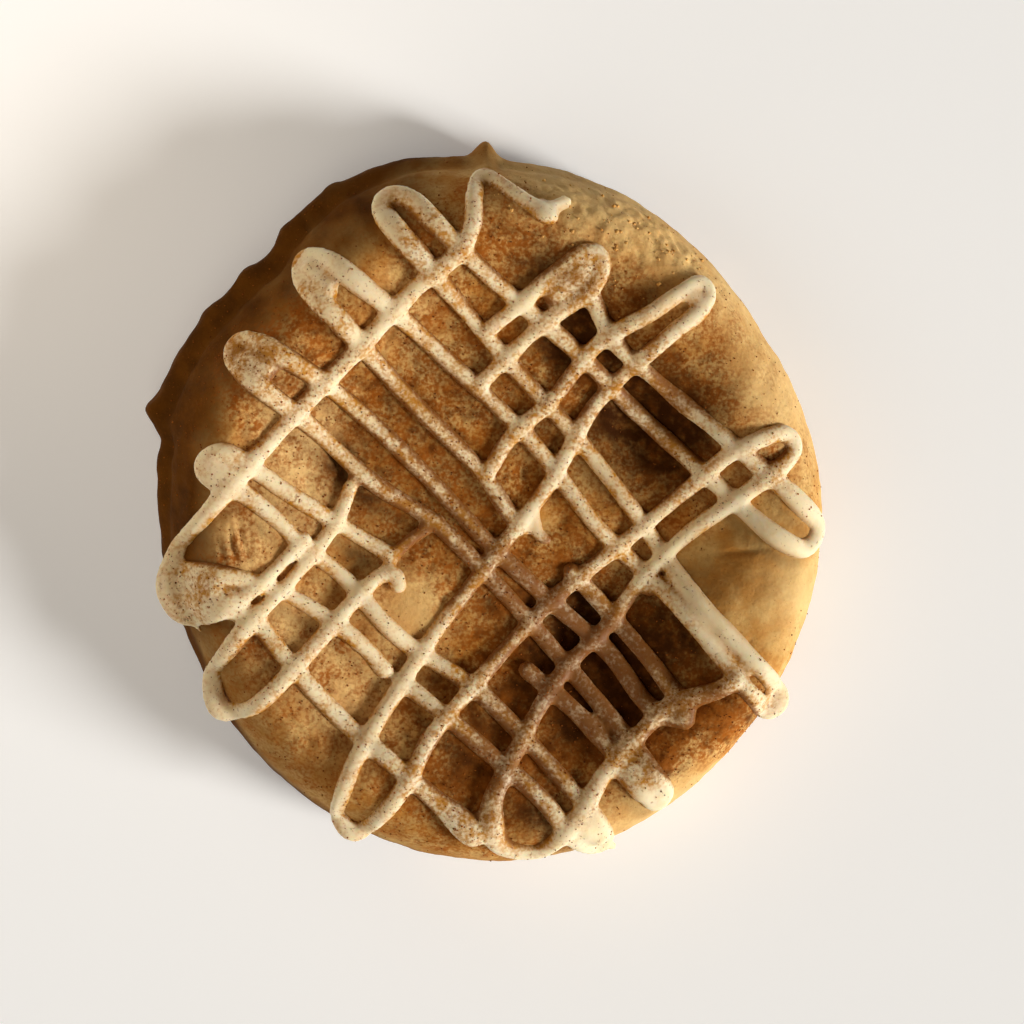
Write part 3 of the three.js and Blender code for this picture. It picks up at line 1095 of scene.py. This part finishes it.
DOUGH_GOLD = colour(208, 150, 74)
DOUGH_PALE = colour(234, 192, 120)
# Cream of the paler places, partly painted light
DOUGH_PALE_AND_LIT = colour(246, 213, 150)
DOUGH_ORANGE = colour(174, 95, 22)
DOUGH_BROWN = colour(86, 42, 6)
# Colour of the shade painted on the top of the dough
DOUGH_PAINTED_SHADE = colour(62, 31, 4)
# Crust colours, also used for the shade painted on the wall and shoulder turned from the light
SHADED_CRUST = colour(98, 58, 10)
DARK_SHADED_CRUST = colour(78, 45, 7)
CINNAMON_FILM = colour(162, 90, 24)
CINNAMON_SPECK = colour(140, 78, 22)
CINNAMON_DARK = colour(100, 50, 14)
CINNAMON_LIGHT = colour(166, 96, 36)
CINNAMON_ON_ICING = colour(196, 133, 16)
CINNAMON_HEAPED = colour(130, 76, 16)
ICING_IVORY = colour(250, 240, 214)
ICING_CREAM = colour(244, 222, 176)
# Colour of thin icing over dough, also the painted shade of the flanks
ICING_THIN_AND_SHADED = colour(206, 160, 100)

# Patterns of the finishes: size of their lumps in mm, detail, and the span of the noise that they show
PATTERNS = {
    "drifts": (2.2, 3, 0.25, 0.75),
    "grit": (0.45, 3, 0.25, 0.75),
    "blotches": (3, 4, 0.35, 0.65),
    "browning": (0.45, 4, 0.38, 0.66),
    "streaks": (3, 4, 0.35, 0.7),
    "mottles": (1.7, 5, 0.46, 0.68),
    "painted_shade_mix": (1.5, 3, 0.25, 0.6),
    "tones": (0.2, 2, 0.3, 0.7),
}

# Cinnamon on each surface: how far film and specks cover, the specks' size in mm, and the film's unevenness
DUST_ON_DOUGH = {"film_share": 0.92, "speck_share": 0.34, "speck_size": 0.4, "drift": 0.4, "grit": 0.34}
DUST_ON_ICING = {"film_share": 0.95, "speck_share": 0.5, "speck_size": 0.5, "drift": 0.32, "grit": 0.32}

# The film against the thickness of the dust: from where to where it grows, and where it is uneven.
# Ranges of four numbers carry the first two to the last two.
FILM_SPAN = (0.05, 0.95)
UNEVEN_WHERE_THIN = (0.05, 0.45, 0.25, 1)
UNEVEN_WHERE_THICK = (0.5, 0.85, 1, 0.65)
SPECK_SPAN = (0.64, 0.74)
SPECKS_BY_DUST = 0.1
SPECK_DETAIL = 2

# The dough's colours: how far browning, paler places with painted light, toasted crust with painted shade,
# and the painted shade of the top change it
BROWNED = (0.1, 0.75)
BROWNED_BY_DUST = (0, 0.45, 0.25, 1)
PALE_AND_LIT_SHARE = 0.7
STREAK_STRETCH = 1.5
MOTTLED = (0, 0.6)
MOTTLED_BY_DUST = (0.15, 0.6)
PAINTED_SHADE_MIX_SPAN = (0.7, 1)

# The icing's colours: size of the cream clouds in mm, how far thin icing shows the dough and shade is
# painted on its flanks, and heaped dust
CLOUD_SIZE = 4
CLOUD_DETAIL = 2
THIN_AND_SHADED_SHARE = 0.65
HEAPED_SPAN = (0.4, 0.9)

# Fine bumps that are too small for the mesh: size, detail and height in mm
DOUGH_BUMPS = (0.5, 4, 0.1)
ICING_BUMPS = (0.8, 3, 0.07)

# How far the tone of one grain or crumb varies
TONE_SWING = 0.2


def dusted(finish, base, film_colour, film_share, speck_share, speck_size, drift, grit):
    """The base colour under a film of cinnamon and its specks, as thick as the piece's dust says."""
    thick = finish.attribute("dust")
    drifts = finish.pattern("drifts", -drift, drift)
    uneven = finish.math("ADD", drifts, finish.pattern("grit", -grit, grit))
    where_thin = finish.between(thick, *UNEVEN_WHERE_THIN)
    loose = finish.math("MULTIPLY", where_thin, finish.between(thick, *UNEVEN_WHERE_THICK))
    level = finish.math("ADD", thick, finish.math("MULTIPLY", uneven, loose))
    film = finish.between(level, *FILM_SPAN, 0, film_share)
    more = finish.math("MULTIPLY", thick, SPECKS_BY_DUST)
    grains = finish.math("ADD", finish.noise(speck_size, SPECK_DETAIL), more)
    specks = finish.between(grains, *SPECK_SPAN, 0, speck_share)
    return finish.mix(specks, finish.mix(film, base, film_colour), CINNAMON_SPECK)


def baked_colour(finish):
    """The dough's colour: golden with browned grain, paler places that are partly painted light, and
    toasted crust that is partly painted shade.
    """
    base = finish.mix(finish.pattern("blotches"), DOUGH_GOLD, DOUGH_PALE)
    by_dust = finish.between(finish.attribute("dust"), *BROWNED_BY_DUST)
    browned = finish.math("MULTIPLY", finish.pattern("browning", *BROWNED), by_dust)
    base = finish.mix(browned, base, DOUGH_ORANGE)
    # Paler places, partly painted light
    base = finish.mix(finish.math("MULTIPLY", finish.attribute("pale"), PALE_AND_LIT_SHARE), base, DOUGH_PALE_AND_LIT)
    streaks = finish.pattern("streaks", stretch=STREAK_STRETCH)
    # Crust colour, partly painted shade
    shaded_crust = finish.mix(streaks, SHADED_CRUST, DARK_SHADED_CRUST)
    return finish.mix(finish.attribute("toast"), base, shaded_crust)


def dough_finish():
    finish = Finish("dough")
    spiced = dusted(finish, baked_colour(finish), CINNAMON_FILM, **DUST_ON_DOUGH)
    by_dust = finish.between(finish.attribute("dust"), *MOTTLED_BY_DUST)
    mottled = finish.math("MULTIPLY", finish.pattern("mottles", *MOTTLED), by_dust)
    spiced = finish.mix(mottled, spiced, DOUGH_BROWN)
    # Painted shade on the top, broken up by noise
    painted_shade_mix = finish.math("MULTIPLY", finish.attribute("soaked"), finish.pattern("painted_shade_mix", *PAINTED_SHADE_MIX_SPAN))
    finish.set(Base_Color=finish.mix(painted_shade_mix, spiced, DOUGH_PAINTED_SHADE), Roughness=0.72, Specular_IOR_Level=0.04)
    finish.set(Subsurface_Weight=0.12, Subsurface_Radius=(1.0, 0.5, 0.2), Subsurface_Scale=1 * MM)
    finish.bump(*DOUGH_BUMPS)
    return finish.material


def icing_finish():
    finish = Finish("icing")
    base = finish.mix(finish.noise(CLOUD_SIZE, CLOUD_DETAIL), ICING_IVORY, ICING_CREAM)
    # Thin icing showing the dough, with painted shade on the flanks
    base = finish.mix(finish.math("MULTIPLY", finish.attribute("thin"), THIN_AND_SHADED_SHARE), base, ICING_THIN_AND_SHADED)
    heaped = finish.between(finish.attribute("dust"), *HEAPED_SPAN)
    film = finish.mix(heaped, CINNAMON_ON_ICING, CINNAMON_HEAPED)
    spiced = dusted(finish, base, film, **DUST_ON_ICING)
    finish.set(Base_Color=spiced, Roughness=0.5, Specular_IOR_Level=0.17)
    finish.set(Subsurface_Weight=0.5, Subsurface_Radius=(1.0, 0.65, 0.35), Subsurface_Scale=1.4 * MM)
    finish.bump(*ICING_BUMPS)
    return finish.material


def grain_finish(name, dark, light):
    finish = Finish(name)
    tone = finish.math("ADD", finish.attribute("shade"), finish.pattern("tones", -TONE_SWING, TONE_SWING))
    finish.set(Base_Color=finish.mix(tone, dark, light), Roughness=0.85, Specular_IOR_Level=0.12)
    return finish.material


def make_stage():
    half = FLOOR_SIZE / 2
    corners = np.array([(-half, -half, 0), (half, -half, 0), (half, half, 0), (-half, half, 0)]) * MM
    floor = mesh_object("floor", corners, [(0, 1, 2, 3)])
    paper = Finish("floor")
    paper.set(Base_Color=FLOOR_COLOUR, Roughness=0.9)
    paper.set(Emission_Color=FLOOR_GLOW_COLOUR, Emission_Strength=FLOOR_GLOW)
    floor.data.materials.append(paper.material)


def direction_of(azimuth, elevation):
    a, e = math.radians(azimuth), math.radians(elevation)
    return Vector((math.cos(e) * math.cos(a), math.cos(e) * math.sin(a), math.sin(e)))


def add_lamp(light, tint, backward):
    """A lamp that shines against the direction backward."""
    light.color = tint
    lamp = bpy.data.objects.new(light.name, light)
    lamp.rotation_euler = backward.to_track_quat("Z", "Y").to_euler()
    bpy.context.scene.collection.objects.link(lamp)
    return lamp


def make_light():
    for name, (azimuth, elevation, strength, softness, tint) in LIGHTS.items():
        light = bpy.data.lights.new(name, "SUN")
        light.energy = strength
        light.angle = math.radians(softness)
        add_lamp(light, tint, direction_of(azimuth, elevation))
    near = bpy.data.lights.new("near", "AREA")
    near.energy = NEAR_LIGHT_WATTS
    near.size = NEAR_LIGHT_SIZE * MM
    lamp = add_lamp(near, NEAR_LIGHT_COLOUR, Vector(NEAR_LIGHT_AT) - Vector(NEAR_LIGHT_AIM))
    lamp.location = Vector(NEAR_LIGHT_AT) * MM
    world = bpy.data.worlds.new("fill")
    world.use_nodes = True
    sky = world.node_tree.nodes["Background"]
    sky.inputs["Color"].default_value = (*FILL_COLOUR, 1)
    sky.inputs["Strength"].default_value = FILL_STRENGTH
    bpy.context.scene.world = world
    bpy.context.scene.view_settings.view_transform = "Standard"


def make_camera():
    lens = bpy.data.cameras.new("camera")
    lens.angle = 2 * math.atan(CAMERA_HALF_VIEW)
    lens.clip_start = CAMERA_NEAREST * MM
    camera = bpy.data.objects.new("camera", lens)
    back = direction_of(CAMERA_LEAN_TOWARDS, 90 - CAMERA_LEAN)
    camera.location = (Vector(CAMERA_TARGET) + back * CAMERA_DISTANCE) * MM
    right = Vector((0, 1, 0)).cross(back).normalized()
    camera.rotation_euler = Matrix((right, back.cross(right), back)).transposed().to_euler()
    bpy.context.scene.collection.objects.link(camera)
    bpy.context.scene.camera = camera


def build():
    dough = make_dough()
    icing = make_icing()
    trees = surface_trees([dough, icing])
    draws = np.random.default_rng(SEED)
    grains = scatter("cinnamon_grains", trees, draws, GRAIN_TRIES, grain_chance, GRAIN_SIZES)
    crumbs = scatter("dough_crumbs", trees[:1], draws, CRUMB_TRIES, crumb_chance, CRUMB_SIZES)
    finish_piece(dough, dough_finish())
    finish_piece(icing, icing_finish())
    finish_piece(grains, grain_finish("cinnamon", CINNAMON_DARK, CINNAMON_LIGHT))
    finish_piece(crumbs, grain_finish("crumbs", DOUGH_GOLD, DOUGH_PALE))


build()
make_stage()
make_light()
make_camera()
